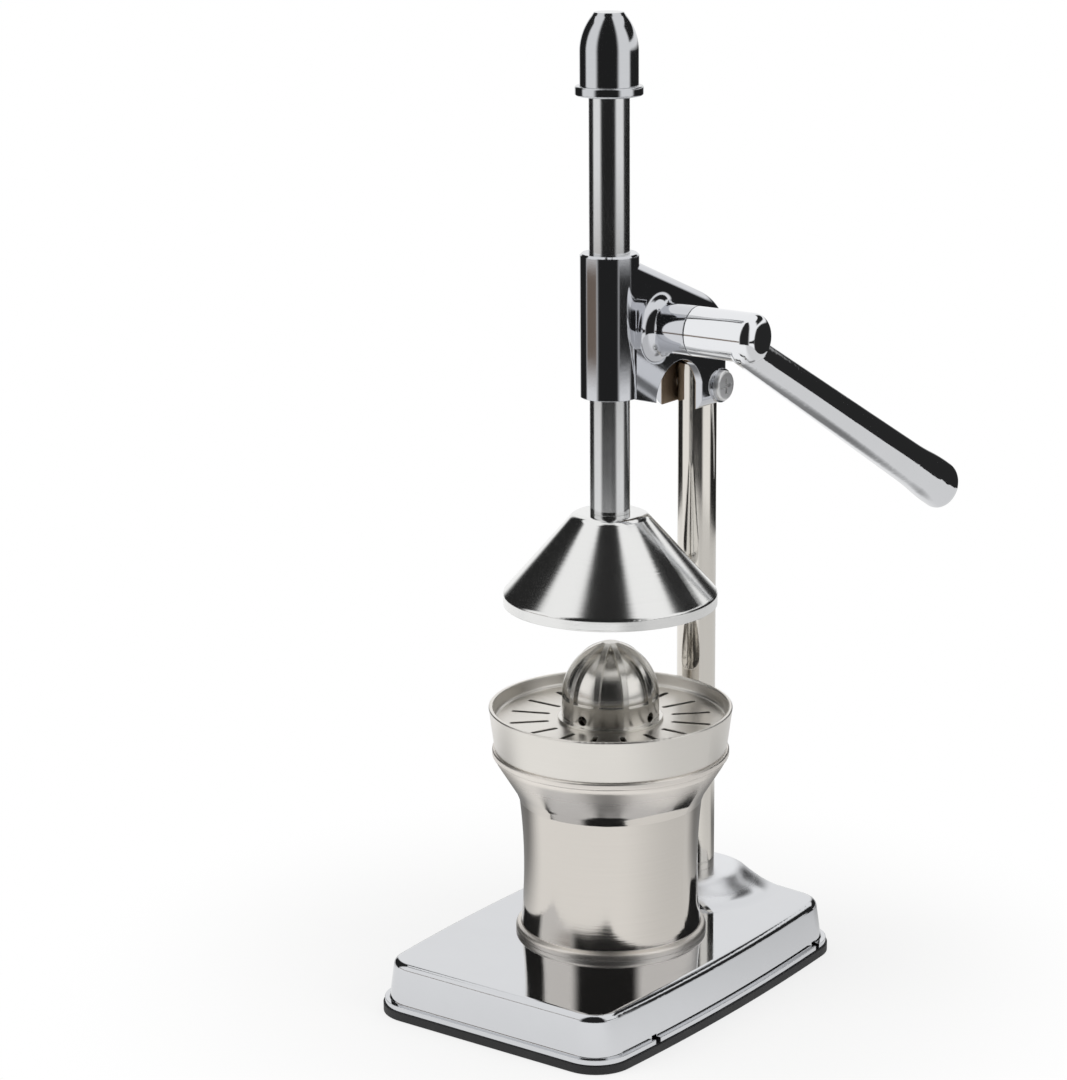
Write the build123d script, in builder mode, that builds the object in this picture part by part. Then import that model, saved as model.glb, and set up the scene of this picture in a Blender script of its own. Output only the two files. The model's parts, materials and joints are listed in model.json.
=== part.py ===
# Manual lever juice press: a base with a column, a head with a rack and pinion,
# a press rod with its cone, and a juice cup with its strainer and reamer.
# Millimetres, +Z up, +X towards the lever, +Y towards the column.
# The origin is on the ground, under the axis of the press rod.

import os
from math import acos, ceil, cos, pi, radians, sin, tan

from build123d import *

os.makedirs("parts", exist_ok=True)

# Fits and allowances
overrun = 1.0               # how far a cutter runs past the face that it cuts
running_clearance = 0.05    # radial play of round fits that turn or slide
fixed_clearance = 0.03      # radial play of round fits that stay put
face_gap = 0.4              # play between faces that pass each other

# Base, set out round the cup's foot and the column
mat_height = 3.4
mat_reach = 0.6             # how far the rubber mat stands out past the lip
mat_hole_margin = 6.5       # room round the column bolt's head
base_top = 22.0
base_wall = 1.2
base_front_margin = 45.7    # from the cup's foot to the front edge
base_side_margin = 20.2     # from the cup's foot to the widest part of the bowed sides
base_side_crown = 12.0      # how far behind the press rod the sides are widest
base_front_taper = 4.0      # how far each side has drawn in at the front
base_rear_taper = 3.0
base_rear_margin = 18.5     # from the column's axis to the rear corners
base_rear_bow = 4.0
base_corner_radius = 14.0
base_draft = 2.4            # how far the top edge is set in from the foot of the wall
base_edge_radius = 3.0
lip_reach = 1.6
lip_height = 2.2
hump_rise = 8.0
hump_crest_margin = 7.0     # flat round the column's foot
hump_flank = 21.0           # from the crest's edge to the hump's foot
hump_crest_share = 1 / 3    # share of the flank that curves over, before it curves out
well_gap = 4.2              # room between the cup's foot and the round recess in the hump
notch_width = 3.0
notch_height = 3.2
notch_front_margin = 32.5
notch_rear_margin = 14.5

# Column and its fastening
column_diameter = 16.0
column_wall = 1.5
column_gap = 4.9            # room between the strainer's rim and the column
column_socket = 17.0        # length of column in the head
plug_length = 26.0
plate_margin = 1.5          # how far the plate stays inside the hump's crest
plate_thickness = 2.5
lock_washer_width = 3.2
lock_washer_thickness = 2.0
lock_washer_slit = 1.2
column_bolt_diameter = 8.0
column_bolt_reach = 20.0    # length in the plug
column_bolt_flats = 13.0
column_bolt_head = 5.3

# Head casting
barrel_wall = 3.65
barrel_length = 56.7
barrel_chamfer = 0.8
head_wall = 3.5
head_roof_wall = 3.2
roof_step = 0.5             # how far the roof starts below the barrel's top
roof_fall = 25.5            # how far the roof falls between the rod's axis and the column's
roof_rear_radius = 34.0
roof_edge_radius = 5.2
leg_drop = 4.3              # how far the front leg hangs below the barrel
leg_depth = 3.95
skirt_drop = 9.2            # how far the skirt round the column hangs below the front leg
skirt_wall = 5.8
skirt_corner_radius = 5.0
arch_rise = 14.5
arch_crown_share = 0.83     # share of the arch's rise that is round
channel_wall = 2.6          # between the rod and the hollow behind the barrel
boss_wall = 3.3
boss_flare = 5.0
boss_right_length = 17.2
boss_left_length = 3.5

# Clamp screw through the head and the column
clamp_rise = 8.2            # height above the skirt's lower edge
clamp_diameter = 6.0
clamp_pad_margin = 0.8
clamp_pad_rise = 0.6
clamp_head_radius = 6.2
clamp_head_height = 2.0
clamp_head_round = 1.2
cross_length = 6.4
cross_width = 1.5
cross_depth = 1.4
nut_flats = 10.0
nut_thickness = 5.0
clamp_thread_reach = 2.0    # thread that shows past the nut

# Rack and pinion
gear_module = 2.0
pinion_teeth = 12
pressure_angle = 20.0
gear_backlash = 0.25
pinion_rise = 26.0          # height of the pinion's axis above the barrel's lower edge
rack_pitch_y = 6.0          # pitch line of the rack, behind the rod axis
rack_half_width = 4.5
rack_addendum = 1.4
gear_dedendum = 2.5
closing_gap = 2.8           # left between cone and strainer at the end of the stroke
pinion_side_gap = 0.3       # between the pinion's sides and the rack's slot
flank_points = 6

# Shaft, its bushes and its end screw
shaft_diameter = 10.0
shaft_cap = 11.4            # from the shaft's end to the end of the lever's hub
bush_wall = 1.5
collar_wall = 2.0
drive_pin_diameter = 2.5
end_washer_margin = 2.9
end_washer_thickness = 1.2
end_screw_diameter = 5.0
end_screw_reach = 12.0
end_screw_head_radius = 4.6
end_screw_head_height = 2.8
end_screw_round = 1.2

# Lever
hub_length = 30.0
hub_end_radius = 5.0
arm_inset = 7.0             # from the arm's middle to the hub's end
arm_droop = 28.75           # degrees below level at rest
arm_drop = 4.4              # how far the arm's axis passes below the hub's
arm_length = 184.0
arm_root_depth = 13.7
arm_taper = 2.2             # how far each side has spread just before the bulb
arm_swell = 1.2             # how far each side swells out to the bulb
arm_end_share = 0.73        # end rounding, as a share of the bulb's half depth
arm_neck_share = 0.79       # share of the arm's length at the neck
arm_bulb_share = 0.93       # share of the arm's length at the bulb
arm_width_share = 0.8       # width of the oval section, as a share of its depth
set_screw_diameter = 5.0
set_screw_inset = 9.5
set_screw_recess = 0.6
set_screw_socket = 2.4
set_screw_socket_depth = 1.8

# Press rod and knob
rod_diameter = 16.0
rod_lower_length = 46.8     # rod that shows between cone and head at rest
rod_upper_length = 60.9     # rod that shows between head and knob at rest
knob_wall = 3.5
knob_flange_step = 1.8
knob_flange_height = 3.8
knob_side_height = 12.8
knob_nose_height = 13.8
knob_nose_draw = 4.9        # how far the nose has drawn in at its top
knob_tip_height = 1.2
knob_tip_bevel = 0.8
knob_edge_radius = 0.8
stud_diameter = 8.0
stud_reach = 14.0           # each way from the joint of rod and knob

# Press cone
cone_sheet = 1.4
cone_rise = 42.8            # height of its rim above the strainer's rim at rest
cone_height = 37.2
cone_rim_gap = 3.9          # room between its rim and the strainer's wall
cone_shoulder_radius = 14.5
cone_shoulder_round = 5.0
cone_lip_height = 4.6
cone_lip_inner_round = 0.4
cone_washer_radius = 9.0
cone_washer_thickness = 1.5
cone_bolt_diameter = 6.0
cone_bolt_reach = 14.0
cone_bolt_flats = 10.0
cone_bolt_head = 4.0

# Juice cup, from its foot to its neck
cup_sheet = 1.1
cup_heel_radius = 36.8
cup_heel_round = 2.5
cup_foot_step = 2.0
cup_foot_height = 2.4
cup_foot_round = 1.4
cup_waist_draw = 1.5        # how far the waist is drawn in from the heel
cup_side_height = 56.2
cup_crease_step = 0.1
cup_flare_step = 1.4
cup_flare_height = 3.6
cup_flare_round = 9.0
cup_shoulder_step = 8.3
cup_shoulder_height = 13.4
cup_shoulder_round = 4.0
cup_collar_height = 1.4
cup_bead_step = 1.2
cup_bead_height = 3.1
cup_bead_round = 0.9
cup_neck_inset = 1.4
cup_neck_height = 5.8

# Strainer and reamer
strainer_sheet = 1.1
strainer_play = 0.5         # between the cup's neck and the strainer's skirt
skirt_height = 11.8
skirt_flare = 2.3
strainer_depth = 5.5
strainer_rim_width = 1.7
strainer_wall_lean = 0.8
strainer_floor_round = 1.5
drain_slots = 16
drain_width = 2.2
drain_inner_margin = 3.8
drain_outer_margin = 5.6
reamer_radius = 19.5
reamer_sheet = 1.2
reamer_flange_step = 1.7
reamer_flange_height = 1.2
reamer_neck_height = 9.5
reamer_dome_height = 21.0
reamer_tip_radius = 3.0
reamer_ribs = 10
reamer_rib_width = 2.4
reamer_rib_rise = 1.3
reamer_hole_diameter = 4.0
reamer_holes = 4
reamer_hole_rise = 3.6

# Cup, strainer and reamer: places
cup_foot_radius = cup_heel_radius + cup_foot_step
cup_waist_radius = cup_heel_radius - cup_waist_draw
cup_crease_radius = cup_heel_radius + cup_crease_step
cup_flare_radius = cup_crease_radius + cup_flare_step
cup_shoulder_radius = cup_flare_radius + cup_shoulder_step
cup_bead_radius = cup_shoulder_radius + cup_bead_step
cup_neck_radius = cup_shoulder_radius - cup_neck_inset
cup_crease_z = base_top + cup_side_height
cup_flare_z = cup_crease_z + cup_flare_height
cup_shoulder_z = cup_flare_z + cup_shoulder_height
cup_bead_z = cup_shoulder_z + cup_collar_height
skirt_base = cup_bead_z + cup_bead_height
cup_top = skirt_base + cup_neck_height
skirt_base_radius = cup_neck_radius + strainer_play + strainer_sheet
strainer_floor = skirt_base + skirt_height
strainer_rim = strainer_floor + strainer_depth
strainer_rim_radius = skirt_base_radius + skirt_flare
strainer_well_radius = strainer_rim_radius - strainer_rim_width - strainer_wall_lean
reamer_flange_radius = reamer_radius + reamer_flange_step
reamer_shoulder = strainer_floor + reamer_neck_height
reamer_top = reamer_shoulder + reamer_dome_height
drain_inner_radius = reamer_flange_radius + drain_inner_margin
drain_outer_radius = strainer_well_radius - drain_outer_margin

# Column and base: places
column_radius = column_diameter / 2
column_y = strainer_rim_radius + column_gap + column_radius
column_foot = base_top + hump_rise
base_front_reach = cup_foot_radius + base_front_margin
base_side_half_width = cup_foot_radius + base_side_margin
base_rear_corner_reach = column_y + base_rear_margin
hump_crest_radius = column_radius + hump_crest_margin
hump_foot_radius = hump_crest_radius + hump_flank
well_radius = cup_foot_radius + well_gap

# Press rod, cone and knob: places
rod_radius = rod_diameter / 2
cone_rim_bottom = strainer_rim + cone_rise
cone_rim_radius = strainer_well_radius - cone_rim_gap
press_travel = cone_rise - closing_gap
rod_bottom = cone_rim_bottom + cone_height
barrel_bottom = rod_bottom + rod_lower_length
barrel_top = barrel_bottom + barrel_length
knob_bottom = barrel_top + rod_upper_length
knob_radius = rod_radius + knob_wall

# Head, shaft and lever: places
barrel_radius = rod_radius + barrel_wall
head_half_width = column_radius + head_wall
channel_half_width = column_radius + fixed_clearance
channel_front = rod_radius + channel_wall
roof_front_height = barrel_top - roof_step
leg_bottom = barrel_bottom - leg_drop
skirt_bottom = leg_bottom - skirt_drop
roof_slope = roof_fall / column_y
column_top = skirt_bottom + column_socket
clamp_height = skirt_bottom + clamp_rise
arch_front = barrel_radius + leg_depth
arch_rear = column_y - column_radius - skirt_wall
arch_height = leg_bottom + arch_rise
arch_spring = arch_height - arch_rise * arch_crown_share
shaft_radius = shaft_diameter / 2
bush_radius = shaft_radius + running_clearance + bush_wall
boss_radius = bush_radius + boss_wall
boss_root_radius = boss_radius + boss_flare
boss_right_end = head_half_width + boss_right_length
boss_left_end = head_half_width + boss_left_length
collar_radius = shaft_radius + collar_wall
pinion_pitch_radius = gear_module * pinion_teeth / 2
pinion_y = rack_pitch_y + pinion_pitch_radius
pinion_z = barrel_bottom + pinion_rise
pinion_outer_radius = pinion_pitch_radius + gear_module
pinion_root_radius = pinion_pitch_radius - gear_dedendum
pinion_half_width = rack_half_width - pinion_side_gap
pinion_axis = Axis((0, pinion_y, pinion_z), (1, 0, 0))
rack_pitch = pi * gear_module
hub_start = boss_right_end + face_gap
hub_end = hub_start + hub_length
shaft_right_end = hub_end - shaft_cap


def pinion_plane(x):
    """Plane square to the pinion's axis, with Y and Z as its own axes."""
    return Plane((x, pinion_y, pinion_z), x_dir=(0, 1, 0), z_dir=(1, 0, 0))


def column_section():
    """Upright plane through the column's axis, for revolved profiles."""
    return Plane((0, column_y, 0), x_dir=(1, 0, 0), z_dir=(0, -1, 0))


# Base: outline, shell and mat
def base_outline(growth, height):
    """Plan of the base at one height, grown outward or inward."""
    side = base_side_half_width + growth
    front = base_front_reach + growth
    front_half = side - base_front_taper
    rear = base_rear_corner_reach + growth
    rear_half = side - base_rear_taper
    with BuildSketch(Plane.XY.offset(height)) as plan:
        with BuildLine():
            Line((-front_half, -front), (front_half, -front))
            ThreePointArc((front_half, -front), (side, base_side_crown), (rear_half, rear))
            ThreePointArc((rear_half, rear), (0, rear + base_rear_bow), (-rear_half, rear))
            ThreePointArc((-rear_half, rear), (-side, base_side_crown), (-front_half, -front))
        make_face()
        fillet(plan.vertices(), base_corner_radius + growth)
    return plan.sketch


def base_ceiling(drop, inset):
    """Block under the base's top face and hump, lowered and set in by a wall."""
    crest = column_foot - drop
    foot = base_top - drop
    flank = hump_foot_radius - hump_crest_radius
    turn_radius = hump_crest_radius + flank * hump_crest_share
    turn_height = crest - (crest - foot) * hump_crest_share
    with BuildPart() as block:
        with BuildSketch(column_section()):
            with BuildLine():
                Line((0, mat_height), (0, crest))
                Line((0, crest), (hump_crest_radius, crest))
                over = TangentArc((hump_crest_radius, crest), (turn_radius, turn_height), tangent=(1, 0))
                TangentArc((turn_radius, turn_height), (hump_foot_radius, foot), tangent=over % 1)
                Line((hump_foot_radius, foot), (hump_foot_radius, mat_height))
                Line((hump_foot_radius, mat_height), (0, mat_height))
            make_face()
        revolve(axis=Axis((0, column_y, 0), (0, 0, 1)))
        with BuildSketch(Plane.XY.offset(foot)):
            Circle(well_radius + inset)
        extrude(amount=hump_rise + overrun, mode=Mode.SUBTRACT)
        extrude(base_outline(0, mat_height), amount=foot - mat_height)
    return block.part


def base_form(drop, inset):
    """Drafted body of the base, closed by its top face and hump."""
    form_height = column_foot + overrun - mat_height
    top_inset = base_draft * form_height / (base_top - mat_height)
    lower = base_outline(-inset, mat_height)
    upper = base_outline(-inset - top_inset, mat_height + form_height)
    with BuildPart() as form:
        loft([lower.face(), upper.face()], ruled=True)
        add(base_ceiling(drop, inset), mode=Mode.INTERSECT)
    return form.part


with BuildPart() as base_shell:
    add(base_form(0, 0))
    walls = base_shell.faces().filter_by(lambda f: f.bounding_box().min.Z < mat_height + base_wall)
    wall_edges = walls.edges()
    top_edges = wall_edges.filter_by(lambda e: e.bounding_box().min.Z > base_top - base_wall)
    fillet(top_edges, base_edge_radius)
    add(base_form(base_wall, base_wall), mode=Mode.SUBTRACT)
    extrude(base_outline(lip_reach, mat_height), amount=lip_height)
    extrude(base_outline(-base_wall, mat_height), amount=lip_height, mode=Mode.SUBTRACT)
    notch_front = notch_front_margin - base_front_reach
    notch_rear = base_rear_corner_reach - notch_rear_margin
    with Locations((0, notch_front, mat_height), (0, notch_rear, mat_height)):
        Box(
            2 * (base_side_half_width + lip_reach + overrun),
            notch_width,
            notch_height,
            align=(Align.CENTER, Align.CENTER, Align.MIN),
            mode=Mode.SUBTRACT,
        )
    with Locations((0, column_y, base_top)):
        Cylinder(
            column_bolt_diameter / 2 + fixed_clearance,
            hump_rise + overrun,
            align=(Align.CENTER, Align.CENTER, Align.MIN),
            mode=Mode.SUBTRACT,
        )
base_shell.part.label = "base_shell"
export_step(base_shell.part, "parts/base_shell.step")

with BuildPart() as base_mat:
    extrude(base_outline(lip_reach + mat_reach, 0), amount=mat_height)
    with Locations((0, column_y, 0)):
        Cylinder(
            column_bolt_flats / 2 + mat_hole_margin,
            mat_height + overrun,
            align=(Align.CENTER, Align.CENTER, Align.MIN),
            mode=Mode.SUBTRACT,
        )
base_mat.part.label = "base_mat"
export_step(base_mat.part, "parts/base_mat.step")

# Column: tube, threaded plug, bolt with its plate and lock washer
with BuildPart() as column_tube:
    with BuildSketch(Plane.XY.offset(column_foot)):
        with Locations((0, column_y)):
            Circle(column_radius)
            Circle(column_radius - column_wall, mode=Mode.SUBTRACT)
    extrude(amount=column_top - column_foot)
    with BuildSketch(Plane.YZ):
        with Locations((column_y, clamp_height)):
            Circle(clamp_diameter / 2 + fixed_clearance)
    extrude(amount=column_diameter, both=True, mode=Mode.SUBTRACT)
column_tube.part.label = "column_tube"
export_step(column_tube.part, "parts/column_tube.step")

with BuildPart() as column_plug:
    with BuildSketch(Plane.XY.offset(column_foot)):
        with Locations((0, column_y)):
            Circle(column_radius - column_wall - fixed_clearance)
    extrude(amount=plug_length)
    with BuildSketch(Plane.XY.offset(column_foot)):
        with Locations((0, column_y)):
            Circle(column_bolt_diameter / 2 + fixed_clearance)
    extrude(amount=column_bolt_reach + overrun, mode=Mode.SUBTRACT)
column_plug.part.label = "column_plug"
export_step(column_plug.part, "parts/column_plug.step")

plate_top = column_foot - base_wall
plate_bottom = plate_top - plate_thickness
lock_washer_bottom = plate_bottom - lock_washer_thickness

with BuildPart() as column_plate:
    with BuildSketch(Plane.XY.offset(plate_bottom)):
        with Locations((0, column_y)):
            Circle(hump_crest_radius - plate_margin)
            Circle(column_bolt_diameter / 2 + fixed_clearance, mode=Mode.SUBTRACT)
    extrude(amount=plate_thickness)
column_plate.part.label = "column_plate"
export_step(column_plate.part, "parts/column_plate.step")

lock_washer_radius = column_bolt_diameter / 2 + lock_washer_width

with BuildPart() as column_lock_washer:
    with BuildSketch(Plane.XY.offset(lock_washer_bottom)):
        with Locations((0, column_y)):
            Circle(lock_washer_radius)
            Circle(column_bolt_diameter / 2 + fixed_clearance, mode=Mode.SUBTRACT)
            Rectangle(
                lock_washer_radius + overrun,
                lock_washer_slit,
                align=(Align.MIN, Align.CENTER),
                mode=Mode.SUBTRACT,
            )
    extrude(amount=lock_washer_thickness)
column_lock_washer.part.label = "column_lock_washer"
export_step(column_lock_washer.part, "parts/column_lock_washer.step")

with BuildPart() as column_bolt:
    with BuildSketch(Plane.XY.offset(lock_washer_bottom)):
        with Locations((0, column_y)):
            RegularPolygon(column_bolt_flats / 2, 6, major_radius=False)
    extrude(amount=-column_bolt_head)
    with BuildSketch(Plane.XY.offset(lock_washer_bottom)):
        with Locations((0, column_y)):
            Circle(column_bolt_diameter / 2)
    extrude(amount=column_foot + column_bolt_reach - lock_washer_bottom)
column_bolt.part.label = "column_bolt"
export_step(column_bolt.part, "parts/column_bolt.step")


# Head casting
def head_barrel():
    """Barrel that guides the rod, with its top rim bevelled."""
    with BuildPart() as barrel:
        with BuildSketch(Plane.XY.offset(barrel_bottom)):
            Circle(barrel_radius)
        extrude(amount=barrel_length)
        chamfer(barrel.faces().sort_by(Axis.Z)[-1].edges(), barrel_chamfer)
    return barrel.part


def head_profile(drop, low, arched):
    """Side view of the head: sloping roof, and an arch between barrel and column."""
    rear = column_y + head_half_width - drop
    rear_top = roof_front_height - roof_slope * rear - drop
    with BuildSketch(Plane.YZ) as profile:
        with BuildLine():
            Polyline(
                (arch_front, leg_bottom if arched else low),
                (0, barrel_bottom if arched else low),
                (0, roof_front_height - drop),
                (rear, rear_top),
                (rear, low),
                (arch_rear, low),
            )
            if arched:
                Line((arch_rear, low), (arch_rear, arch_spring))
                ThreePointArc(
                    (arch_rear, arch_spring),
                    ((arch_front + arch_rear) / 2, arch_height),
                    (arch_front, arch_spring),
                )
                Line((arch_front, arch_spring), (arch_front, leg_bottom))
            else:
                Line((arch_rear, low), (arch_front, low))
        make_face()
        fillet(profile.vertices().group_by(Axis.Y)[-2], roof_rear_radius - drop)
        if arched:
            fillet(profile.vertices().group_by(Axis.Y)[0].sort_by(Axis.X)[-1], skirt_corner_radius)
    return profile.sketch


def head_channel():
    """Hollow of the head behind the barrel, open below, with the column's socket at its rear."""
    low = skirt_bottom - overrun
    with BuildPart() as hollow:
        with BuildSketch(Plane.XY.offset(low)):
            with Locations((0, column_y)):
                Circle(channel_half_width)
            with Locations((0, channel_front)):
                Rectangle(
                    2 * channel_half_width,
                    column_y - channel_front,
                    align=(Align.CENTER, Align.MIN),
                )
        extrude(amount=roof_front_height - low)
        extrude(
            head_profile(head_roof_wall, low, False),
            amount=head_half_width,
            both=True,
            mode=Mode.INTERSECT,
        )
        with BuildSketch(Plane.XY.offset(low)):
            with Locations((0, column_y)):
                Circle(channel_half_width)
        extrude(amount=column_top + face_gap - low)
    return hollow.part


with BuildPart() as head_casting:
    extrude(head_profile(0, skirt_bottom, True), amount=head_half_width, both=True)
    roof_edges = head_casting.faces().sort_by(Axis.Z)[-1].edges().filter_by(
        lambda e: abs(e.center().X) > channel_half_width
    )
    fillet(roof_edges, roof_edge_radius)
    with BuildSketch(Plane.XY.offset(skirt_bottom)):
        with Locations((0, column_y)):
            Circle(head_half_width)
        Rectangle(2 * head_half_width, column_y, align=(Align.CENTER, Align.MIN))
    extrude(amount=roof_front_height - skirt_bottom, mode=Mode.INTERSECT)
    add(head_barrel())
    with BuildSketch(Plane((0, pinion_y, pinion_z), x_dir=(1, 0, 0), z_dir=(0, -1, 0))):
        with BuildLine():
            flare_end = head_half_width + boss_flare
            Polyline(
                (flare_end, boss_radius),
                (boss_right_end, boss_radius),
                (boss_right_end, 0),
                (-boss_left_end, 0),
                (-boss_left_end, boss_radius),
                (0, boss_radius),
                (0, boss_root_radius),
                (head_half_width, boss_root_radius),
            )
            ThreePointArc(
                (head_half_width, boss_root_radius),
                (
                    flare_end - boss_flare * cos(pi / 4),
                    boss_root_radius - boss_flare * sin(pi / 4),
                ),
                (flare_end, boss_radius),
            )
        make_face()
    revolve(axis=pinion_axis)
    with BuildSketch(Plane.YZ):
        with Locations((column_y, clamp_height)):
            Circle(clamp_head_radius + clamp_pad_margin)
    extrude(amount=head_half_width + clamp_pad_rise, both=True)
    add(head_channel(), mode=Mode.SUBTRACT)
    with BuildSketch(Plane.XY.offset(leg_bottom)):
        Circle(rod_radius + running_clearance)
    extrude(amount=barrel_top - leg_bottom + overrun, mode=Mode.SUBTRACT)
    with BuildSketch(pinion_plane(0)):
        Circle(pinion_outer_radius + face_gap)
    extrude(amount=rack_half_width, both=True, mode=Mode.SUBTRACT)
    with BuildSketch(pinion_plane(0)):
        Circle(bush_radius + fixed_clearance)
    extrude(amount=boss_right_end + overrun, both=True, mode=Mode.SUBTRACT)
    with BuildSketch(Plane.YZ):
        with Locations((column_y, clamp_height)):
            Circle(clamp_diameter / 2 + fixed_clearance)
    extrude(amount=head_half_width + clamp_pad_rise + overrun, both=True, mode=Mode.SUBTRACT)
head_casting.part.label = "head_casting"
export_step(head_casting.part, "parts/head_casting.step")

# Clamp screw and nut
clamp_seat = head_half_width + clamp_pad_rise
clamp_tip = -clamp_seat - nut_thickness - clamp_thread_reach

with BuildPart() as clamp_screw:
    with BuildSketch(Plane((clamp_seat, column_y, clamp_height), x_dir=(0, 1, 0), z_dir=(1, 0, 0))):
        Circle(clamp_head_radius)
    extrude(amount=clamp_head_height)
    fillet(clamp_screw.faces().sort_by(Axis.X)[-1].edges(), clamp_head_round)
    head_face = clamp_seat + clamp_head_height
    with BuildSketch(Plane((head_face, column_y, clamp_height), x_dir=(0, 1, 0), z_dir=(1, 0, 0))):
        Rectangle(cross_length, cross_width)
        Rectangle(cross_width, cross_length)
    extrude(amount=-cross_depth, mode=Mode.SUBTRACT)
    with BuildSketch(Plane((clamp_tip, column_y, clamp_height), x_dir=(0, 1, 0), z_dir=(1, 0, 0))):
        Circle(clamp_diameter / 2)
    extrude(amount=clamp_seat - clamp_tip)
clamp_screw.part.label = "clamp_screw"
export_step(clamp_screw.part, "parts/clamp_screw.step")

with BuildPart() as clamp_nut:
    with BuildSketch(Plane((-clamp_seat, column_y, clamp_height), x_dir=(0, 1, 0), z_dir=(1, 0, 0))):
        RegularPolygon(nut_flats / 2, 6, major_radius=False)
        Circle(clamp_diameter / 2 + fixed_clearance, mode=Mode.SUBTRACT)
    extrude(amount=-nut_thickness)
clamp_nut.part.label = "clamp_nut"
export_step(clamp_nut.part, "parts/clamp_nut.step")


# Shaft bushes, one in each wall of the head
def shaft_bush(start, end):
    """Plain sleeve in the head's wall, from one face to the other."""
    with BuildPart() as bush:
        with BuildSketch(pinion_plane(start)):
            Circle(bush_radius)
            Circle(shaft_radius + running_clearance, mode=Mode.SUBTRACT)
        extrude(amount=end - start)
    return bush


shaft_bush_right = shaft_bush(channel_half_width, boss_right_end)
shaft_bush_right.part.label = "shaft_bush_right"
export_step(shaft_bush_right.part, "parts/shaft_bush_right.step")

shaft_bush_left = shaft_bush(-boss_left_end, -channel_half_width)
shaft_bush_left.part.label = "shaft_bush_left"
export_step(shaft_bush_left.part, "parts/shaft_bush_left.step")


# Pinion, with a collar on each side
def involute_half_angle(radius):
    """Half the angle that a pinion tooth takes up at one radius, in radians."""
    pressure = radians(pressure_angle)
    base_radius = pinion_pitch_radius * cos(pressure)
    half_width = (rack_pitch / 2 - gear_backlash) / 2
    local = acos(min(1.0, base_radius / radius))
    return half_width / pinion_pitch_radius + tan(pressure) - pressure - tan(local) + local


def pinion_tooth():
    """Outline of one tooth about the +X axis of its sketch, root to tip."""
    base_radius = pinion_pitch_radius * cos(radians(pressure_angle))
    step = (pinion_outer_radius - base_radius) / (flank_points - 1)
    radii = [base_radius + step * index for index in range(flank_points)]
    upper = [(r * cos(involute_half_angle(r)), r * sin(involute_half_angle(r))) for r in radii]
    lower = [(x, -y) for x, y in upper]
    foot_angle = involute_half_angle(base_radius)
    foot_radius = pinion_root_radius - gear_backlash
    foot_x = foot_radius * cos(foot_angle)
    foot_y = foot_radius * sin(foot_angle)
    with BuildSketch() as tooth:
        with BuildLine():
            Line((foot_x, foot_y), upper[0])
            Spline(*upper)
            ThreePointArc(upper[-1], (pinion_outer_radius, 0), lower[-1])
            Spline(*reversed(lower))
            Line(lower[0], (foot_x, -foot_y))
            Line((foot_x, -foot_y), (foot_x, foot_y))
        make_face()
    return tooth.sketch


collar_end = channel_half_width - face_gap
drive_pin_x = (pinion_half_width + collar_end) / 2
tooth_angle = 360 / pinion_teeth

with BuildPart() as pinion_gear:
    with BuildSketch(pinion_plane(-pinion_half_width)):
        Circle(pinion_root_radius)
        with PolarLocations(0, pinion_teeth, start_angle=tooth_angle / 2):
            add(pinion_tooth())
    extrude(amount=2 * pinion_half_width)
    with BuildSketch(pinion_plane(-collar_end)):
        Circle(collar_radius)
    extrude(amount=2 * collar_end)
    with BuildSketch(pinion_plane(-collar_end - overrun)):
        Circle(shaft_radius + fixed_clearance)
    extrude(amount=2 * (collar_end + overrun), mode=Mode.SUBTRACT)
    with BuildSketch(Plane.XY.offset(pinion_z)):
        with Locations((drive_pin_x, pinion_y)):
            Circle(drive_pin_diameter / 2 + fixed_clearance)
    extrude(amount=collar_radius + overrun, both=True, mode=Mode.SUBTRACT)
pinion_gear.part.label = "pinion_gear"
export_step(pinion_gear.part, "parts/pinion_gear.step")

with BuildPart() as drive_pin:
    with BuildSketch(Plane.XY.offset(pinion_z)):
        with Locations((drive_pin_x, pinion_y)):
            Circle(drive_pin_diameter / 2)
    extrude(amount=collar_radius - face_gap, both=True)
drive_pin.part.label = "drive_pin"
export_step(drive_pin.part, "parts/drive_pin.step")

# Shaft, with its end washer and end screw on the left
shaft_left_end = -boss_left_end - face_gap

with BuildPart() as pinion_shaft:
    with BuildSketch(pinion_plane(shaft_left_end)):
        Circle(shaft_radius)
    extrude(amount=shaft_right_end - shaft_left_end)
    with BuildSketch(pinion_plane(shaft_left_end)):
        Circle(end_screw_diameter / 2 + fixed_clearance)
    extrude(amount=end_screw_reach + overrun, mode=Mode.SUBTRACT)
    with BuildSketch(Plane.XY.offset(pinion_z)):
        with Locations((drive_pin_x, pinion_y)):
            Circle(drive_pin_diameter / 2 + fixed_clearance)
    extrude(amount=shaft_diameter, both=True, mode=Mode.SUBTRACT)
pinion_shaft.part.label = "pinion_shaft"
export_step(pinion_shaft.part, "parts/pinion_shaft.step")

with BuildPart() as end_washer:
    with BuildSketch(pinion_plane(shaft_left_end)):
        Circle(end_screw_head_radius + end_washer_margin)
        Circle(end_screw_diameter / 2 + fixed_clearance, mode=Mode.SUBTRACT)
    extrude(amount=-end_washer_thickness)
end_washer.part.label = "end_washer"
export_step(end_washer.part, "parts/end_washer.step")

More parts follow.
